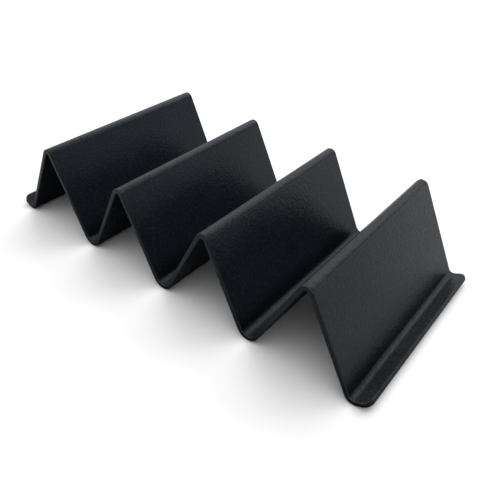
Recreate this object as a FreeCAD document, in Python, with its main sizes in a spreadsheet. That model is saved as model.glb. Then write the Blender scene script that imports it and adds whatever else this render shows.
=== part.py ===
import FreeCAD, Part
import math
import os

import Sketcher
from FreeCAD import Vector

# Taco holder: one wall folded into a zig-zag of ridges and troughs, with a foot flange
# turned out and up at each end. Millimetres, +Z up, the row of ridges along X and the
# length of every fold along Y. The origin is on the table, under the middle of the holder.

DIMENSIONS = [
    ("ridge_count", 4, "ridges; a trough lies between each two"),
    ("ridge_pitch", 60.0, "ridge to ridge, along X"),
    ("fold_length", 119.0, "length of every fold, along Y"),
    ("inner_height", 51.8, "table to the top of an inner ridge"),
    ("outer_height", 53.7, "table to the top of an outer ridge, which carries an end panel"),
    ("wall", 2.7, "thickness of the folded wall"),
    ("ridge_bend", 1.4, "inner radius of a ridge"),
    ("trough_bend", 4.1, "inner radius of a trough"),
    ("foot_bend", 2.8, "inner radius between an end panel and its foot"),
    ("panel_reach", 31.4, "outer ridge to foot bend, along X, between their centres"),
    ("foot_width", 7.1, "flat width of a foot, from its bend to its tip"),
    ("foot_tilt", 26.5, "rise of a foot towards its tip, in degrees"),
    ("foot_corner", 4.5, "radius of a foot's two corners"),
    ("edge_round", 0.7, "rounding along every rim"),
]

CLOSE = 1e-4            # two places nearer than this are the same place, mm
SHARP = math.radians(20.0)      # faces that meet at more than this form an edge of the rim

START, END, CENTRE = 1, 2, 3    # the point of a line or an arc that a constraint holds
ORIGIN_POINT = (-1, 1)
VERTICAL_AXIS = -2


def make_sheet(doc):
    """The driving dimensions: plain numbers, each with an alias."""
    sheet = doc.addObject("Spreadsheet::Sheet", "Dimensions")
    for row, (alias, value, note) in enumerate(DIMENSIONS, start=1):
        sheet.set(f"A{row}", alias)
        sheet.set(f"B{row}", str(value))
        sheet.set(f"C{row}", note)
        sheet.setAlias(f"B{row}", alias)
    doc.recompute()
    return sheet


class Bend:
    """One bend of the wall: its centre in XZ, its radii and the way it turns."""

    def __init__(self, x, size, height):
        self.x = x
        self.size = size            # alias of the bend's inner radius
        self.height = height        # alias of the ridge's height, or None where it stands on the table

    @property
    def is_ridge(self):
        return self.height is not None

    @property
    def turn(self):
        """+1 where the wall turns upwards, as in a trough; -1 over a ridge."""
        return -1 if self.is_ridge else 1

    def inner(self, sheet):
        return getattr(sheet, self.size)

    def outer(self, sheet):
        return self.inner(sheet) + sheet.wall

    def centre(self, sheet):
        if self.is_ridge:
            return Vector(self.x, getattr(sheet, self.height) - self.outer(sheet), 0)
        return Vector(self.x, self.outer(sheet), 0)

    def radius(self, sheet, upper):
        """The radius of this bend on the wall's upper or lower surface."""
        return self.outer(sheet) if upper == self.is_ridge else self.inner(sheet)

    def radius_rule(self, upper):
        """The same radius as an expression of the sheet's values."""
        rule = f"Dimensions.{self.size}"
        return f"{rule} + Dimensions.wall" if upper == self.is_ridge else rule

    def height_rule(self):
        outer = f"Dimensions.{self.size} + Dimensions.wall"
        if self.is_ridge:
            return f"Dimensions.{self.height} - ({outer})"
        return outer

    def point(self, sheet, upper, heading):
        """Where the surface has this heading, in radians above +X."""
        side = Vector(math.sin(heading), -math.cos(heading), 0)
        return self.centre(sheet) + side * (self.turn * self.radius(sheet, upper))


def make_bends(sheet):
    """The bends from left to right: foot, ridge, trough, ridge ... ridge, foot."""
    count = int(sheet.ridge_count)
    half_row = (count - 1) / 2 * sheet.ridge_pitch
    foot_x = half_row + sheet.panel_reach
    bends = [Bend(-foot_x, "foot_bend", None)]
    for k in range(count):
        ridge_x = k * sheet.ridge_pitch - half_row
        height = "outer_height" if k in (0, count - 1) else "inner_height"
        bends.append(Bend(ridge_x, "ridge_bend", height))
        if k < count - 1:
            bends.append(Bend(ridge_x + sheet.ridge_pitch / 2, "trough_bend", None))
    bends.append(Bend(foot_x, "foot_bend", None))
    return bends


def make_headings(sheet, bends):
    """The heading of every straight stretch, from the left foot to the right one."""
    tilt = math.radians(sheet.foot_tilt)
    headings = [-tilt]
    for a, b in zip(bends, bends[1:]):
        step = b.centre(sheet) - a.centre(sheet)
        lean = math.asin((a.inner(sheet) + b.inner(sheet) + sheet.wall) / step.Length)
        headings.append(math.atan2(step.y, step.x) + a.turn * lean)
    return headings + [tilt]


class ProfileSketch:
    """The folded wall's outline in the XZ plane: two parallel surfaces and two tips."""

    def __init__(self, sketch, sheet):
        self.sketch = sketch
        self.sheet = sheet
        self.bends = make_bends(sheet)
        self.headings = make_headings(sheet, self.bends)

    def line(self, start, end):
        return self.sketch.addGeometry(Part.LineSegment(start, end), False)

    def constrain(self, *args):
        return self.sketch.addConstraint(Sketcher.Constraint(*args))

    def drive(self, rule, *args):
        """A dimension that follows an expression of the sheet's values."""
        index = self.constrain(*args)
        self.sketch.setExpression(f"Constraints[{index}]", rule)

    def arc(self, k, upper):
        """Bend k on one surface, and which of its ends the wall enters and leaves by."""
        bend = self.bends[k]
        quarter = bend.turn * math.pi / 2
        enter = self.headings[k] - quarter
        leave = self.headings[k + 1] - quarter
        first, last = (leave, enter) if bend.is_ridge else (enter, leave)
        circle = Part.Circle(bend.centre(self.sheet), Vector(0, 0, 1), bend.radius(self.sheet, upper))
        index = self.sketch.addGeometry(Part.ArcOfCircle(circle, first, last), False)
        radius = bend.radius(self.sheet, upper)
        self.drive(bend.radius_rule(upper), "Radius", index, radius)
        entry, exit_ = (END, START) if bend.is_ridge else (START, END)
        return index, entry, exit_

    def surface(self, upper):
        """One surface of the wall: foot, bend, straight, bend ... foot, all tangent."""
        sheet = self.sheet
        arcs = [self.arc(k, upper) for k in range(len(self.bends))]
        heading = self.headings[0]
        along = Vector(math.cos(heading), math.sin(heading), 0)
        first = self.bends[0].point(sheet, upper, heading)
        lines = [self.line(first - along * sheet.foot_width, first)]
        for k in range(len(self.bends) - 1):
            heading = self.headings[k + 1]
            start = self.bends[k].point(sheet, upper, heading)
            end = self.bends[k + 1].point(sheet, upper, heading)
            lines.append(self.line(start, end))
        heading = self.headings[-1]
        along = Vector(math.cos(heading), math.sin(heading), 0)
        last = self.bends[-1].point(sheet, upper, heading)
        lines.append(self.line(last, last + along * sheet.foot_width))
        for k, (index, entry, exit_) in enumerate(arcs):
            self.constrain("Tangent", lines[k], END, index, entry)
            self.constrain("Tangent", index, exit_, lines[k + 1], START)
        return arcs, lines

    def place_bends(self, arcs):
        """The places of the bend centres, from the middle of the row outwards."""
        sheet = self.sheet
        middle = len(self.bends) // 2
        self.constrain("PointOnObject", arcs[middle][0], CENTRE, VERTICAL_AXIS)
        for k, bend in enumerate(self.bends):
            self.drive(bend.height_rule(), "DistanceY", *ORIGIN_POINT, arcs[k][0], CENTRE,
                       bend.centre(sheet).y)
        for k in range(len(self.bends) - 1):
            outermost = k in (0, len(self.bends) - 2)
            rule = "Dimensions.panel_reach" if outermost else "Dimensions.ridge_pitch / 2"
            step = self.bends[k + 1].x - self.bends[k].x
            self.drive(rule, "DistanceX", arcs[k][0], CENTRE, arcs[k + 1][0], CENTRE, step)

    def close_tip(self, upper_line, lower_line, end):
        """The tip of a foot: square to the foot, at its tilt and width."""
        tip = self.line(self.end_point(upper_line, end), self.end_point(lower_line, end))
        self.constrain("Coincident", upper_line, end, tip, START)
        self.constrain("Coincident", lower_line, end, tip, END)
        self.constrain("Parallel", upper_line, lower_line)
        self.constrain("Perpendicular", upper_line, tip)
        self.drive("Dimensions.foot_width", "Distance", upper_line, self.sheet.foot_width)

    def end_point(self, line, end):
        geometry = self.sketch.Geometry[line]
        return geometry.StartPoint if end == START else geometry.EndPoint

    def tilt_foot(self, line, end):
        """The rise of a foot over its flat width, measured from its bend to its tip."""
        rise = self.sheet.foot_width * math.sin(math.radians(self.sheet.foot_tilt))
        rule = "Dimensions.foot_width * sin(Dimensions.foot_tilt * 1 deg)"
        bend_end = END if end == START else START
        self.drive(rule, "DistanceY", line, bend_end, line, end, rise)

    def draw(self):
        upper_arcs, upper_lines = self.surface(True)
        lower_arcs, lower_lines = self.surface(False)
        for (a, _, _), (b, _, _) in zip(upper_arcs, lower_arcs):
            self.constrain("Coincident", a, CENTRE, b, CENTRE)
        self.place_bends(upper_arcs)
        for line, end in ((0, START), (-1, END)):
            self.close_tip(upper_lines[line], lower_lines[line], end)
            self.tilt_foot(upper_lines[line], end)


def origin_plane(body, role):
    return next(f for f in body.Origin.OriginFeatures if f.Role == role)


def normal_at(face, point):
    u, v = face.Surface.parameter(point)
    return face.normalAt(u, v)


def rim_edges(shape):
    """Every edge at which two faces meet at an angle, and not smoothly."""
    names = []
    for number, edge in enumerate(shape.Edges, start=1):
        faces = shape.ancestorsOfType(edge, Part.Face)
        if len(faces) != 2:
            continue
        middle = edge.valueAt((edge.FirstParameter + edge.LastParameter) / 2)
        a, b = (normal_at(face, middle) for face in faces)
        if a.getAngle(b) > SHARP:
            names.append(f"Edge{number}")
    return names


def tip_edges(shape, sheet):
    """The four edges through the wall's thickness at the corners of the feet."""
    reach = max(v.Point.x for v in shape.Vertexes)
    lean = sheet.wall * math.sin(math.radians(sheet.foot_tilt))
    names = []
    for number, edge in enumerate(shape.Edges, start=1):
        points = [v.Point for v in edge.Vertexes]
        at_tip = all(abs(p.x) > reach - lean - CLOSE for p in points)
        through_wall = points[0].distanceToPoint(points[-1]) < sheet.wall + CLOSE
        if at_tip and through_wall:
            names.append(f"Edge{number}")
    return names


def make_holder(doc, sheet):
    """The folded wall: profile, pad along the folds, rounded foot corners, rounded rims."""
    body = doc.addObject("PartDesign::Body", "TacoHolder")
    body.Label = "taco_holder"

    profile = body.newObject("Sketcher::SketchObject", "FoldProfile")
    profile.AttachmentSupport = [(origin_plane(body, "XZ_Plane"), "")]
    profile.MapMode = "FlatFace"
    ProfileSketch(profile, sheet).draw()

    folded = body.newObject("PartDesign::Pad", "FoldedWall")
    folded.Profile = profile
    folded.SideType = "Symmetric"
    folded.setExpression("Length", "Dimensions.fold_length")
    doc.recompute()

    corners = body.newObject("PartDesign::Fillet", "FootCorners")
    corners.Base = (folded, tip_edges(folded.Shape, sheet))
    corners.setExpression("Radius", "min(Dimensions.foot_corner; 0.95 * Dimensions.foot_width)")
    doc.recompute()

    rims = body.newObject("PartDesign::Fillet", "RoundedRims")
    rims.Base = (corners, rim_edges(corners.Shape))
    rims.setExpression("Radius", "min(Dimensions.edge_round; 0.45 * Dimensions.wall)")
    doc.recompute()
    body.Tip = rims
    doc.recompute()
    return body


def check_document(doc):
    """Stops at the first object that failed to compute."""
    for item in doc.Objects:
        if "Invalid" in item.State or "Error" in item.State:
            raise RuntimeError(f"{item.Label}: {item.State}")


def check_part(part):
    """Stops unless the sub-part is one closed, valid solid."""
    shape = part.Shape
    if shape.isNull() or not shape.isValid() or len(shape.Solids) != 1:
        raise RuntimeError(f"{part.Label}: not one valid solid")


def main():
    doc = FreeCAD.newDocument("TacoHolder")
    sheet = make_sheet(doc)
    parts = [make_holder(doc, sheet)]
    check_document(doc)
    for part in parts:
        check_part(part)
    os.makedirs("parts", exist_ok=True)
    for part in parts:
        box = part.Shape.BoundBox
        print(f"{part.Label}: {box.XLength:.1f} x {box.YLength:.1f} x {box.ZLength:.1f} mm, "
              f"{part.Shape.Volume / 1000:.1f} cm3")
        part.Shape.exportStep(f"parts/{part.Label}.step")


main()
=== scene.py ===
"""Looks of a folded taco holder: moulded black plastic, a pale floor, soft studio light and the camera."""

import math

import bpy
from bpy.props import FloatProperty, FloatVectorProperty, PointerProperty
from mathutils import Matrix, Vector


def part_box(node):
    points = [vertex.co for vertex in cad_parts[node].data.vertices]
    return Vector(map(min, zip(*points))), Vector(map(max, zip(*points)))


bl_info = {
    "name": "Folded Taco Holder",
    "version": (1, 0, 0),
    "blender": (4, 5, 0),
    "location": "3D View > Sidebar > Taco Holder",
    "description": "Gives a folded taco holder its plastic finish, and sets the floor, light and camera",
    "category": "Object",
}

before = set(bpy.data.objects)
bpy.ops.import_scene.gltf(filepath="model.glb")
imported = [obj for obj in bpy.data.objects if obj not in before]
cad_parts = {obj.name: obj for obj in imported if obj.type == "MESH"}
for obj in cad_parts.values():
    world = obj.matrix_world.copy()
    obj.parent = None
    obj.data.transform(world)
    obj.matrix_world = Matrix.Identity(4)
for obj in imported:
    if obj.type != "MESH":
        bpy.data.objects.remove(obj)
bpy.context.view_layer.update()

HOLDER = "taco_holder"
WALL_LOW, WALL_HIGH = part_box(HOLDER)

# Grain and drift: the grain is made of pebbles with finer specks, and the two shares add up to 1

SPECKS_PER_PEBBLE = 2.3
PEBBLE_SMOOTHNESS = 0.6
PEBBLE_SHARE = 0.55
SPECK_SHARE = 0.45
RAISED_TIPS = (0.52, 0.74)       # heights of the grain
WAVES_PER_PATCH = 1.6
DRIFT_MIDDLE = 0.5
DRIFT_SPAN = (0.3, 0.7)          # drift over which the colour changes

# Masks by place: the distances over which each one fades, in metres

RIM_REACH = (0.0002, 0.0009)     # from the ends of the folds
RIDGE_REACH = (0.0005, 0.0045)   # down from the top
FOOT_REACH = (0.0001, 0.0012)    # up from the table
CREASE_REACH = (0.0030, 0.0140)  # up from the table

# Masks by direction: the part of a face's normal over which each one changes, 1 where it faces that way

LOOKS_UP = (0.60, 0.92)
UPPER_EDGE = (0.25, 0.55)
EDGE_BEGINS = (0.20, 0.45)
EDGE_ENDS = (0.70, 0.90)

# Painted top light and sheen: shares of the painted top light, and how much the roughness changes

BRIGHT_SPECKS = (0.42, 0.60)     # noise that the brighter specks are taken from
TOP_LIGHT_IN_SPECKS = 1.1
TOP_LIGHT_ON_TIPS = 0.6
TOP_LIGHT_ALL_OVER = 0.15
SHEEN_DRIFT = 0.16
TIP_ROUGHNESS = -0.05
RIM_SMOOTHING = 0.75             # how much weaker the grain is on the rims
PLASTIC_IOR = 1.5

# Floor, light and camera, in metres. A lamp is its name, its place, and its width and height

FLOOR_GAP = 0.0001
DIM_FLOOR_INSIDE = 0.01          # from the holder's outline, where the dim floor under it ends
DIM_FLOOR_OUTSIDE = 0.03
FADE_RATIO = 3.0                 # end of the floor's fade to its beginning
CEILING_POWER = 2.0              # how steeply the light grows towards the ceiling
KEY_LAMP = ("key_lamp", (-0.2, 0.95, 1.04), (2.0, 0.6))
SIDE_LAMP = ("side_lamp", (1.0, 1.3, 0.3), (1.2, 0.5))
SENSOR_WIDTH = 36.0              # in millimetres, as the lens
NEAREST_VIEW = 0.01
FARTHEST_VIEW = 100.0

# Node trees: levels of a smooth step, sockets of a Mix node (first, second, output), and the layout

FULL = 1.0
RISING = (0.0, 1.0)
FALLING = (1.0, 0.0)
MIX_SOCKETS = {"FLOAT": (2, 3, 0), "RGBA": (6, 7, 2)}
COLUMN_WIDTH = 220
ROW_HEIGHT = 180


# Sizes and colours that a user may change

class TACO_PG_plastic(bpy.types.PropertyGroup):
    """The moulded plastic of the folded wall"""
    colour: FloatVectorProperty(
        name="Plastic colour", description="Colour of the plastic through its whole thickness",
        subtype="COLOR", size=3, min=0.0, max=1.0, default=(0.0072, 0.0098, 0.0140))
    # Colour of the hazing on raised tips, and of the painted top light on faces that look up
    haze_and_top_light: FloatVectorProperty(
        name="Colour of tip hazing and top light", description="Colour that raised tips turn towards, and that faces that look up take as painted top light",
        subtype="COLOR", size=3, min=0.0, max=1.0, default=(0.032, 0.0302, 0.0345))
    # Rubbing and a painted highlight on the rims' upper edges
    rubbed_highlit_edge: FloatVectorProperty(
        name="Colour of rubbed, highlighted edges", description="Colour of the rims' upper edges, rubbed and with a painted highlight",
        subtype="COLOR", size=3, min=0.0, max=1.0, default=(0.075, 0.076, 0.079))
    sheen: FloatProperty(
        name="Roughness", description="Roughness of the grained faces",
        subtype="FACTOR", min=0.0, max=1.0, default=0.26)
    rim_sheen: FloatProperty(
        name="Rim roughness", description="Roughness of the smoother rims at both ends of the folds",
        subtype="FACTOR", min=0.0, max=1.0, default=0.22)
    gloss_tint: FloatVectorProperty(
        name="Gloss tint", description="Tint of the plastic's own reflection",
        subtype="COLOR", size=3, min=0.0, max=1.0, default=(0.76, 0.92, 1.0))
    gloss: FloatProperty(
        name="Gloss level", description="Strength of the plastic's own reflection",
        subtype="FACTOR", min=0.0, max=1.0, default=0.104)
    grain_size: FloatProperty(
        name="Grain size", description="Distance from one grain of the mould's texture to the next",
        subtype="DISTANCE", unit="LENGTH", min=0.0001, max=0.01, default=0.0013)
    grain_depth: FloatProperty(
        name="Grain depth", description="Height of the mould's texture",
        subtype="DISTANCE", unit="LENGTH", min=0.0, max=0.001, default=0.00017)
    speck_size: FloatProperty(
        name="Speck size", description="Distance from one fine speck of the haze to the next",
        subtype="DISTANCE", unit="LENGTH", min=0.0001, max=0.01, default=0.0007)
    patch_size: FloatProperty(
        name="Patch size", description="Size of the patches in which the colour and the sheen drift",
        subtype="DISTANCE", unit="LENGTH", min=0.001, max=0.5, default=0.035)
    wave_depth: FloatProperty(
        name="Wave depth", description="Height of the slow waves that cooling leaves in the flat faces",
        subtype="DISTANCE", unit="LENGTH", min=0.0, max=0.002, default=0.00006)
    mottle: FloatProperty(
        name="Mottle", description="How much the colour drifts over the faces",
        subtype="FACTOR", min=0.0, max=1.0, default=0.16)
    tip_haze: FloatProperty(
        name="Tip hazing", description="How strongly the grain's raised tips turn hazy",
        subtype="FACTOR", min=0.0, max=1.0, default=0.45)
    # Painted top light: how much lighter the faces that look up are painted
    painted_light: FloatProperty(
        name="Lighter faces that look up", description="How much lighter the faces that look up are painted, as painted top light",
        subtype="FACTOR", min=0.0, max=1.0, default=0.56)
    # Painted shade: how much darker the creases and the rims are painted
    shade: FloatProperty(
        name="Darkness of painted shade", description="How much darker creases and rims are painted, as painted shade",
        subtype="FACTOR", min=0.0, max=1.0, default=0.65)
    # Share of rubbing and painted highlight on the rims' upper edges
    wear_and_highlight: FloatProperty(
        name="Share of rubbed, highlighted edge", description="How much of that colour the rims' upper edges take, as rubbing and painted highlight",
        subtype="FACTOR", min=0.0, max=1.0, default=0.8)
    rubbed: FloatProperty(
        name="Rubbed sheen", description="How much smoother ridges and feet are where they are handled",
        subtype="FACTOR", min=0.0, max=1.0, default=0.03)


class TACO_PG_stage(bpy.types.PropertyGroup):
    """The floor, the light and the camera"""
    floor_colour: FloatVectorProperty(
        name="Floor colour", description="Colour of the plain floor",
        subtype="COLOR", size=3, min=0.0, max=1.0, default=(0.98, 0.98, 0.98))
    floor_bounce: FloatProperty(
        name="Floor bounce", description="Share of the floor's colour that reaches the holder's underside",
        subtype="FACTOR", min=0.0, max=1.0, default=0.30)
    floor_size: FloatProperty(
        name="Floor size", description="Side of the square floor",
        subtype="DISTANCE", unit="LENGTH", min=1.0, max=50.0, default=12.0)
    shadow_reach: FloatProperty(
        name="Shadow reach", description="Distance from the holder at which the floor begins to fade",
        subtype="DISTANCE", unit="LENGTH", min=0.1, max=5.0, default=0.4)
    room_level: FloatProperty(
        name="Room light", description="Level of the even light that comes from all sides",
        min=0.0, max=2.0, default=0.06)
    ceiling_level: FloatProperty(
        name="Ceiling light", description="Level that the room's light gains from the horizon to the zenith",
        min=0.0, max=4.0, default=1.66)
    key_power: FloatProperty(
        name="Key power", description="Power of the wide lamp behind and above the ridges",
        subtype="POWER", unit="POWER", min=0.0, max=500.0, default=10.0)
    side_power: FloatProperty(
        name="Side power", description="Power of the low lamp behind the holder and to its right",
        subtype="POWER", unit="POWER", min=0.0, max=500.0, default=2.5)
    camera_place: FloatVectorProperty(
        name="Camera place", description="Where the camera stands",
        subtype="TRANSLATION", unit="LENGTH", size=3, default=(0.172930, -0.213808, 0.207358))
    camera_azimuth: FloatProperty(
        name="Azimuth", description="Side that the camera looks from, turned from the front to the right",
        subtype="ANGLE", unit="ROTATION", default=math.radians(36.344))
    camera_elevation: FloatProperty(
        name="Elevation", description="Height of the camera's line of sight above the horizon",
        subtype="ANGLE", unit="ROTATION", default=math.radians(37.988))
    camera_roll: FloatProperty(
        name="Roll", description="Turn of the camera about its line of sight",
        subtype="ANGLE", unit="ROTATION", default=math.radians(2.951))
    camera_lens: FloatProperty(
        name="Lens", description="Focal length on a sensor 36 mm wide",
        subtype="DISTANCE_CAMERA", min=1.0, max=500.0, default=39.425)


# Small helpers for node trees

def opaque(colour):
    """A colour with its full alpha, as colour sockets take it."""
    return (*colour, FULL)


def add_node(tree, kind, name=None, **settings):
    """Adds a node, names it and sets its plain settings."""
    node = tree.nodes.new(kind)
    if name:
        node.name = node.label = name
    for key, value in settings.items():
        setattr(node, key, value)
    return node


def put(tree, socket, value):
    """Links an output to a socket, or sets the socket's own value."""
    if isinstance(value, bpy.types.NodeSocket):
        tree.links.new(value, socket)
    else:
        socket.default_value = value


def split_node(tree, name, vector):
    """The X, Y and Z outputs of a vector."""
    node = add_node(tree, "ShaderNodeSeparateXYZ", name)
    put(tree, node.inputs["Vector"], vector)
    return node.outputs


def math_node(tree, name, operation, *values, clamp=False):
    """The result of one arithmetic step."""
    node = add_node(tree, "ShaderNodeMath", name, operation=operation, use_clamp=clamp)
    for socket, value in zip(node.inputs, values):
        put(tree, socket, value)
    return node.outputs["Value"]


def ramp_node(tree, name, value, span, levels=RISING):
    """A smooth step from the first level to the second, while the value crosses its span."""
    node = add_node(tree, "ShaderNodeMapRange", name, interpolation_type="SMOOTHSTEP", clamp=True)
    put(tree, node.inputs["Value"], value)
    for label, number in zip(("From Min", "From Max", "To Min", "To Max"), (*span, *levels)):
        put(tree, node.inputs[label], number)
    return node.outputs["Result"]


def mix_node(tree, name, kind, factor, first, second, blend="MIX"):
    """Two numbers (FLOAT) or two colours (RGBA), mixed or multiplied."""
    node = add_node(tree, "ShaderNodeMix", name, data_type=kind, blend_type=blend)
    first_input, second_input, output = MIX_SOCKETS[kind]
    put(tree, node.inputs[0], factor)
    put(tree, node.inputs[first_input], first)
    put(tree, node.inputs[second_input], second)
    return node.outputs[output]


def noise_node(tree, name, place, per_metre, detail, roughness=0.5):
    """Soft noise over the places, from 0 to 1."""
    node = add_node(tree, "ShaderNodeTexNoise", name, noise_dimensions="3D")
    node.inputs["Detail"].default_value = detail
    node.inputs["Roughness"].default_value = roughness
    put(tree, node.inputs["Vector"], place)
    put(tree, node.inputs["Scale"], per_metre)
    return node.outputs["Fac"]


def bump_node(tree, name, height, depth, below=None):
    """A relief with heights from 0 to 1 and a depth in metres, on top of the relief below."""
    node = add_node(tree, "ShaderNodeBump", name)
    node.inputs["Strength"].default_value = FULL
    node.inputs["Distance"].default_value = depth
    put(tree, node.inputs["Height"], height)
    if below is not None:
        put(tree, node.inputs["Normal"], below)
    return node.outputs["Normal"]


def lay_out(tree):
    """Sets the nodes in columns, each to the left of the nodes that it feeds."""
    columns = dict.fromkeys(tree.nodes.keys(), 0)
    for _ in tree.nodes:
        for link in tree.links:
            giver, taker = link.from_node.name, link.to_node.name
            columns[giver] = max(columns[giver], columns[taker] + 1)
    rows = {}
    for name, column in columns.items():
        row = rows.get(column, 0)
        tree.nodes[name].location = (-COLUMN_WIDTH * column, -ROW_HEIGHT * row)
        rows[column] = row + 1


def new_group(name, inputs, outputs):
    """An empty shader node group, what comes in and what goes out.

    An input without a default is a vector, and all other sockets are numbers."""
    group = bpy.data.node_groups.new(name, "ShaderNodeTree")
    for label, default in inputs.items():
        kind = "NodeSocketVector" if default is None else "NodeSocketFloat"
        socket = group.interface.new_socket(name=label, in_out="INPUT", socket_type=kind)
        if default is not None:
            socket.default_value = default
    for label in outputs:
        group.interface.new_socket(name=label, in_out="OUTPUT", socket_type="NodeSocketFloat")
    return group, add_node(group, "NodeGroupInput").outputs, add_node(group, "NodeGroupOutput").inputs


def use_group(tree, name, **values):
    """A node group in a material, with its inputs set, and its outputs."""
    node = add_node(tree, "ShaderNodeGroup", name, node_tree=bpy.data.node_groups[name])
    for key, value in values.items():
        put(tree, node.inputs[key.replace("_", " ")], value)
    return node.outputs


def new_tree(owner):
    """The empty node tree of a material or a world."""
    owner.use_nodes = True
    owner.node_tree.nodes.clear()
    return owner.node_tree


# Effects of the moulded surface

def make_mould_grain():
    """Fine pebbled texture of an etched mould: a height from 0 to 1 and a mask of the raised tips."""
    group, source, result = new_group(
        "Mould Grain", {"Place": None, "Grain Size": 0.0008}, ("Height", "Tips"))
    per_metre = math_node(group, "Grains per metre", "DIVIDE", 1.0, source["Grain Size"])
    finer = math_node(group, "Finer grains", "MULTIPLY", per_metre, SPECKS_PER_PEBBLE)
    pebbles = add_node(
        group, "ShaderNodeTexVoronoi", "Pebbles", feature="SMOOTH_F1", voronoi_dimensions="3D")
    pebbles.inputs["Smoothness"].default_value = PEBBLE_SMOOTHNESS
    put(group, pebbles.inputs["Vector"], source["Place"])
    put(group, pebbles.inputs["Scale"], per_metre)
    dome = math_node(group, "Pebble domes", "SUBTRACT", 1.0, pebbles.outputs["Distance"])
    specks = noise_node(group, "Specks", source["Place"], finer, detail=3.0, roughness=0.65)
    fine = math_node(group, "Fine part", "MULTIPLY", specks, SPECK_SHARE)
    height = math_node(group, "Grain height", "MULTIPLY_ADD", dome, PEBBLE_SHARE, fine)
    put(group, result["Height"], height)
    put(group, result["Tips"], ramp_node(group, "Raised tips", height, RAISED_TIPS))
    lay_out(group)


def make_slow_drift():
    """Broad, soft drift over the faces: a value about 0.5 for colour, and a slow wave for height."""
    group, source, result = new_group(
        "Slow Drift", {"Place": None, "Patch Size": 0.03}, ("Drift", "Wave"))
    per_metre = math_node(group, "Patches per metre", "DIVIDE", 1.0, source["Patch Size"])
    waves = math_node(group, "Waves per metre", "MULTIPLY", per_metre, WAVES_PER_PATCH)
    cloud = noise_node(group, "Cloud", source["Place"], per_metre, detail=4.0, roughness=0.55)
    put(group, result["Drift"], cloud)
    put(group, result["Wave"], noise_node(group, "Sink waves", source["Place"], waves, detail=1.0))
    lay_out(group)


def make_rim_band():
    """Masks of the rims at the ends of the folds, the ridge tops, the feet and the low creases."""
    group, source, result = new_group(
        "Rim Band", {"Place": None, "Half Depth": 0.06, "Top": 0.054}, ("Rim", "Ridge", "Foot", "Crease"))
    place = split_node(group, "Place parts", source["Place"])
    depth = math_node(group, "Distance from the middle", "ABSOLUTE", place["Y"])
    from_end = math_node(group, "Distance from the end", "SUBTRACT", source["Half Depth"], depth)
    from_top = math_node(group, "Distance below the top", "SUBTRACT", source["Top"], place["Z"])
    for mask, distance, reach in (
            ("Rim", from_end, RIM_REACH),
            ("Ridge", from_top, RIDGE_REACH),
            ("Foot", place["Z"], FOOT_REACH),
            ("Crease", place["Z"], CREASE_REACH)):
        put(group, result[mask], ramp_node(group, f"{mask} mask", distance, reach, FALLING))
    lay_out(group)


def make_painted_light_masks():
    """Masks of painted light: painted top light on faces that look up, a painted highlight with rubbing on
    the rims' upper edges, and painted shade on rims and low creases.
    """
    group, source, result = new_group(
        "Painted Light Masks",
        {"Place": None, "Facing": None, "Speck Size": 0.0007, "Tips": 0.5, "Rim": 0.0, "Crease": 0.0},
        ("Painted Top Light", "Rubbed Edge With Highlight", "Painted Shade"))
    facing = split_node(group, "Facing parts", source["Facing"])
    upward = ramp_node(group, "Looks up", facing["Z"], LOOKS_UP)

    # Painted top light: faces that look up are painted lighter, more on the grain's tips and in fine specks
    per_metre = math_node(group, "Specks per metre", "DIVIDE", 1.0, source["Speck Size"])
    specks = noise_node(group, "Fine specks", source["Place"], per_metre, detail=1.0)
    bright = ramp_node(group, "Bright specks", specks, BRIGHT_SPECKS)
    tipped = math_node(
        group, "More on the tips", "MULTIPLY_ADD", source["Tips"], TOP_LIGHT_ON_TIPS, TOP_LIGHT_ALL_OVER)
    speckled = math_node(group, "Speckled", "MULTIPLY_ADD", bright, TOP_LIGHT_IN_SPECKS, tipped)
    put(group, result["Painted Top Light"], math_node(group, "Top light in specks", "MULTIPLY", upward, speckled, clamp=True))

    # Rubbed edge with a painted highlight: on the rounding between a face and the rim at its end, where it
    # looks up
    endward = math_node(group, "Turned to an end", "ABSOLUTE", facing["Y"])
    begun = ramp_node(group, "Edge begins", endward, EDGE_BEGINS)
    unended = ramp_node(group, "Edge ends", endward, EDGE_ENDS, FALLING)
    rounded = math_node(group, "On the rounding", "MULTIPLY", begun, unended)
    upper = ramp_node(group, "Upper edge", facing["Z"], UPPER_EDGE)
    lifted = math_node(group, "On the upper rounding", "MULTIPLY", rounded, upper)
    put(group, result["Rubbed Edge With Highlight"], math_node(group, "Edge rubbing and highlight", "MULTIPLY", lifted, source["Rim"]))

    # Painted shade: the rims, and the low creases except for what looks up in them, are painted darker
    steep = math_node(group, "Steep", "SUBTRACT", 1.0, upward)
    crease = math_node(group, "Steep crease", "MULTIPLY", steep, source["Crease"])
    put(group, result["Painted Shade"], math_node(group, "Painted Shade", "MAXIMUM", source["Rim"], crease))
    lay_out(group)


# The finish of the folded wall

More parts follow.
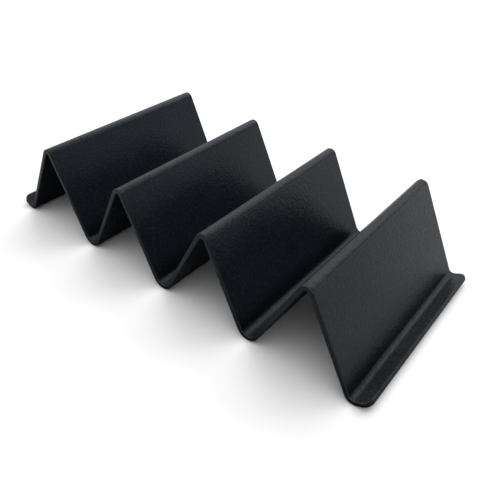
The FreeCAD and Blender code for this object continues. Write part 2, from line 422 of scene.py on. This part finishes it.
def plastic_colour(tree, settings, grain, drift, painted_light, grained):
    """The plastic's own colour, with hazing on the grain's tips, painted top light on faces that look up,
    painted shade on rims and creases, and a painted highlight with rubbing on the rims' upper edges,
    drifting slowly over the faces.
    """
    tip_haze = math_node(tree, "Share of tip hazing", "MULTIPLY", grained, settings.tip_haze)
    tips = math_node(tree, "Hazed tips", "MULTIPLY", grain["Tips"], tip_haze)
    # Hazing on the grain's tips, and painted top light on the faces that look up
    amount = math_node(
        tree, "Amount of tip hazing and top light", "MULTIPLY_ADD", painted_light["Painted Top Light"], settings.painted_light, tips, clamp=True)
    hazed_and_top_lit = mix_node(
        tree, "Plastic with tip hazing and top light", "RGBA", amount, opaque(settings.colour), opaque(settings.haze_and_top_light))
    # Painted shade on the rims and in the low creases
    painted_shade = math_node(tree, "Where shade is painted", "MULTIPLY", painted_light["Painted Shade"], settings.shade)
    level = math_node(tree, "Shade level", "SUBTRACT", 1.0, painted_shade)
    shaded = mix_node(tree, "Darkness of painted shade", "RGBA", FULL, hazed_and_top_lit, level, blend="MULTIPLY")
    # Painted highlight, with rubbing, on the rims' upper edges
    wear_and_highlight = math_node(tree, "Wear", "MULTIPLY", painted_light["Rubbed Edge With Highlight"], settings.wear_and_highlight)
    worn_and_highlighted = mix_node(tree, "Edges rubbed and highlighted", "RGBA", wear_and_highlight, shaded, opaque(settings.rubbed_highlit_edge))
    mottle = ramp_node(
        tree, "Colour drift", drift["Drift"], DRIFT_SPAN, (1.0 - settings.mottle, 1.0 + settings.mottle))
    return mix_node(tree, "Drifting colour", "RGBA", FULL, worn_and_highlighted, mottle, blend="MULTIPLY")


def plastic_roughness(tree, settings, grain, drift, band):
    """Even on the faces, lower on the rims and where hands and shells rub."""
    handled = math_node(tree, "Handled", "MAXIMUM", band["Ridge"], band["Foot"])
    rubbed = math_node(tree, "Rubbed", "MULTIPLY", handled, settings.rubbed)
    even = math_node(tree, "Even sheen", "SUBTRACT", settings.sheen, rubbed)
    swing = math_node(tree, "Drift about 0", "SUBTRACT", drift["Drift"], DRIFT_MIDDLE)
    uneven = math_node(tree, "Uneven sheen", "MULTIPLY_ADD", swing, SHEEN_DRIFT, even)
    speckled = math_node(tree, "Tips shine more", "MULTIPLY_ADD", grain["Tips"], TIP_ROUGHNESS, uneven)
    return mix_node(tree, "Faces and rims", "FLOAT", band["Rim"], speckled, settings.rim_sheen)


def plastic_relief(tree, settings, grain, drift, grained):
    """The slow waves of the faces, with the grain on them."""
    height = math_node(tree, "Grain off the rims", "MULTIPLY", grain["Height"], grained)
    waves = bump_node(tree, "Slow waves", drift["Wave"], settings.wave_depth)
    return bump_node(tree, "Grain", height, settings.grain_depth, waves)


def make_plastic(settings):
    """Satin black moulded plastic with a fine grain, smoother on the rims, the ridges and the feet."""
    material = bpy.data.materials.new("grained_black_plastic")
    tree = new_tree(material)
    where = add_node(tree, "ShaderNodeTexCoord", "Place on the holder").outputs
    place, facing = where["Object"], where["Normal"]
    grain = use_group(tree, "Mould Grain", Place=place, Grain_Size=settings.grain_size)
    drift = use_group(tree, "Slow Drift", Place=place, Patch_Size=settings.patch_size)
    band = use_group(tree, "Rim Band", Place=place, Half_Depth=WALL_HIGH.y, Top=WALL_HIGH.z)
    painted_light = use_group(
        tree, "Painted Light Masks", Place=place, Facing=facing, Speck_Size=settings.speck_size,
        Tips=grain["Tips"], Rim=band["Rim"], Crease=band["Crease"])
    smoothed = math_node(tree, "Smoother rims", "MULTIPLY", band["Rim"], RIM_SMOOTHING)
    grained = math_node(tree, "Where the grain is full", "SUBTRACT", 1.0, smoothed)

    shader = add_node(tree, "ShaderNodeBsdfPrincipled", "Moulded plastic")
    shader.inputs["IOR"].default_value = PLASTIC_IOR
    shader.inputs["Specular IOR Level"].default_value = settings.gloss
    shader.inputs["Specular Tint"].default_value = opaque(settings.gloss_tint)
    put(tree, shader.inputs["Base Color"], plastic_colour(tree, settings, grain, drift, painted_light, grained))
    put(tree, shader.inputs["Roughness"], plastic_roughness(tree, settings, grain, drift, band))
    put(tree, shader.inputs["Normal"], plastic_relief(tree, settings, grain, drift, grained))
    output = add_node(tree, "ShaderNodeOutputMaterial")
    put(tree, output.inputs["Surface"], shader.outputs["BSDF"])
    lay_out(tree)
    return material


class TACO_OT_finish_wall(bpy.types.Operator):
    """Give the folded wall its grained black plastic"""
    bl_idname = "taco.finish_wall"
    bl_label = "Finish Folded Wall"
    bl_options = {"REGISTER", "UNDO"}

    def execute(self, context):
        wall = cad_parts[HOLDER]
        if not wall.material_slots:
            raise RuntimeError("the folded wall has no material slot")
        for make in (make_mould_grain, make_slow_drift, make_rim_band, make_painted_light_masks):
            make()
        plastic = make_plastic(context.scene.taco_plastic)
        for slot in wall.material_slots:
            slot.material = plastic
        return {"FINISHED"}


# Floor, light and camera

def ray_kinds(tree):
    """Whether a ray comes straight from the camera, and whether it was mirrored or refracted."""
    path = add_node(tree, "ShaderNodeLightPath", "Kind of ray").outputs
    bent = math_node(
        tree, "Mirrored or refracted", "MAXIMUM", path["Is Glossy Ray"], path["Is Transmission Ray"])
    return path["Is Camera Ray"], bent


def make_floor_paint(settings):
    """Pale paint that gives the holder a dim bounce, and that fades to plain white away from it.

    Only the camera and reflections see its full colour, and reflections only clear of the holder."""
    material = bpy.data.materials.new("pale_floor")
    tree = new_tree(material)
    place = add_node(tree, "ShaderNodeTexCoord", "Place on the floor").outputs["Object"]
    across = split_node(tree, "Place parts", place)
    beyond = []
    for axis, half in (("X", WALL_HIGH.x), ("Y", WALL_HIGH.y)):
        distance = math_node(tree, f"Distance in {axis}", "ABSOLUTE", across[axis])
        edge = (half - DIM_FLOOR_INSIDE, half + DIM_FLOOR_OUTSIDE)
        beyond.append(ramp_node(tree, f"Beyond the holder in {axis}", distance, edge))
    clear = math_node(tree, "Clear of the holder", "MAXIMUM", *beyond)
    straight, bent = ray_kinds(tree)
    # Painted shade: under the holder, reflections see only the dim bounce share of the floor's colour
    mirrored = math_node(tree, "Mirrored clear of the holder", "MULTIPLY", clear, bent)
    seen = math_node(tree, "Seen or mirrored", "MAXIMUM", straight, mirrored)

    full_colour = opaque(settings.floor_colour)
    share = ramp_node(tree, "Bounce or colour", seen, RISING, (settings.floor_bounce, FULL))
    colour = mix_node(tree, "Floor colour", "RGBA", FULL, full_colour, share, blend="MULTIPLY")
    paint = add_node(tree, "ShaderNodeBsdfDiffuse", "Pale paint")
    put(tree, paint.inputs["Color"], colour)

    away = add_node(tree, "ShaderNodeVectorMath", "Distance from the holder", operation="LENGTH")
    put(tree, away.inputs[0], place)
    fade = (settings.shadow_reach, FADE_RATIO * settings.shadow_reach)
    far = ramp_node(tree, "Far floor", away.outputs["Value"], fade)
    white = add_node(tree, "ShaderNodeEmission", "White background")
    faded = add_node(tree, "ShaderNodeMixShader", "Floor fades to the background")
    put(tree, faded.inputs[0], math_node(tree, "Far and seen", "MULTIPLY", far, seen))
    put(tree, faded.inputs[1], paint.outputs["BSDF"])
    put(tree, faded.inputs[2], white.outputs["Emission"])
    output = add_node(tree, "ShaderNodeOutputMaterial")
    put(tree, output.inputs["Surface"], faded.outputs["Shader"])
    lay_out(tree)
    return material


def make_floor(settings):
    """A plain square floor, a hair below the holder."""
    half = settings.floor_size / 2
    corners = [(-half, -half, 0), (half, -half, 0), (half, half, 0), (-half, half, 0)]
    mesh = bpy.data.meshes.new("floor")
    mesh.from_pydata(corners, [], [(0, 1, 2, 3)])
    mesh.materials.append(make_floor_paint(settings))
    floor = bpy.data.objects.new("floor", mesh)
    floor.location.z = WALL_LOW.z - FLOOR_GAP
    bpy.context.scene.collection.objects.link(floor)


def make_room(settings):
    """Soft light that grows towards the ceiling. The camera and reflections see plain white."""
    world = bpy.data.worlds.new("room")
    bpy.context.scene.world = world
    tree = new_tree(world)
    way = split_node(tree, "Direction", add_node(tree, "ShaderNodeTexCoord").outputs["Generated"])
    height = math_node(tree, "Height above the horizon", "MAXIMUM", way["Z"], 0.0)
    rise = math_node(tree, "Rise to the ceiling", "POWER", height, CEILING_POWER)
    ceiling = math_node(tree, "Ceiling light", "MULTIPLY", rise, settings.ceiling_level)
    light = math_node(tree, "Room light", "ADD", ceiling, settings.room_level)
    seen = math_node(tree, "Seen or mirrored", "MAXIMUM", *ray_kinds(tree))
    room = add_node(tree, "ShaderNodeBackground", "Room")
    room.inputs["Color"].default_value = (FULL, FULL, FULL, FULL)
    put(tree, room.inputs["Strength"], mix_node(tree, "Room level", "FLOAT", seen, light, FULL))
    output = add_node(tree, "ShaderNodeOutputWorld")
    put(tree, output.inputs["Surface"], room.outputs["Background"])
    lay_out(tree)


def make_lamp(name, place, size, power):
    """A soft rectangular lamp with its width level, turned towards the holder's middle on the table."""
    lamp = bpy.data.lights.new(name, "AREA")
    lamp.shape = "RECTANGLE"
    lamp.size, lamp.size_y = size
    lamp.energy = power
    holder = bpy.data.objects.new(name, lamp)
    holder.location = place
    holder.rotation_mode = "QUATERNION"
    holder.rotation_quaternion = (-Vector(place)).to_track_quat("-Z", "Y")
    bpy.context.scene.collection.objects.link(holder)


def make_camera(settings):
    """The camera, from its place and its three angles."""
    azimuth, elevation, roll = settings.camera_azimuth, settings.camera_elevation, settings.camera_roll
    reach = math.cos(elevation)
    back = Vector((math.sin(azimuth) * reach, -math.cos(azimuth) * reach, math.sin(elevation)))
    level = (-back).cross(Vector((0, 0, 1))).normalized()
    upright = level.cross(-back)
    right = level * math.cos(roll) + upright * math.sin(roll)
    up = upright * math.cos(roll) - level * math.sin(roll)
    data = bpy.data.cameras.new("camera")
    data.sensor_width = SENSOR_WIDTH
    data.lens = settings.camera_lens
    data.clip_start, data.clip_end = NEAREST_VIEW, FARTHEST_VIEW
    camera = bpy.data.objects.new("camera", data)
    turn = Matrix((right, up, back)).transposed().to_4x4()
    camera.matrix_world = Matrix.Translation(Vector(settings.camera_place)) @ turn
    bpy.context.scene.collection.objects.link(camera)
    bpy.context.scene.camera = camera


class TACO_OT_set_stage(bpy.types.Operator):
    """Set the pale floor, the soft light and the camera"""
    bl_idname = "taco.set_stage"
    bl_label = "Set Stage"
    bl_options = {"REGISTER", "UNDO"}

    def execute(self, context):
        settings = context.scene.taco_stage
        make_floor(settings)
        make_room(settings)
        make_lamp(*KEY_LAMP, settings.key_power)
        make_lamp(*SIDE_LAMP, settings.side_power)
        make_camera(settings)
        context.scene.view_settings.view_transform = "Standard"
        return {"FINISHED"}


# Sidebar and registration

class TACO_PT_holder(bpy.types.Panel):
    """Sizes and colours of the taco holder's looks"""
    bl_idname = "TACO_PT_holder"
    bl_label = "Taco Holder"
    bl_space_type = "VIEW_3D"
    bl_region_type = "UI"
    bl_category = "Taco Holder"

    def draw(self, context):
        for title, group, operator in (
                ("Folded wall", context.scene.taco_plastic, TACO_OT_finish_wall.bl_idname),
                ("Stage", context.scene.taco_stage, TACO_OT_set_stage.bl_idname)):
            box = self.layout.box()
            box.label(text=title)
            for key in group.bl_rna.properties.keys():
                if key not in {"rna_type", "name"}:
                    box.prop(group, key)
            box.operator(operator)


CLASSES = (TACO_PG_plastic, TACO_PG_stage, TACO_OT_finish_wall, TACO_OT_set_stage, TACO_PT_holder)


def register():
    """Registers the classes and gives each scene its settings."""
    for item in CLASSES:
        bpy.utils.register_class(item)
    bpy.types.Scene.taco_plastic = PointerProperty(type=TACO_PG_plastic)
    bpy.types.Scene.taco_stage = PointerProperty(type=TACO_PG_stage)


def unregister():
    """Takes the settings and the classes out again."""
    del bpy.types.Scene.taco_stage
    del bpy.types.Scene.taco_plastic
    for item in reversed(CLASSES):
        bpy.utils.unregister_class(item)


def main():
    """Finishes the wall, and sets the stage."""
    register()
    bpy.ops.taco.finish_wall()
    bpy.ops.taco.set_stage()


if __name__ == "__main__":
    main()
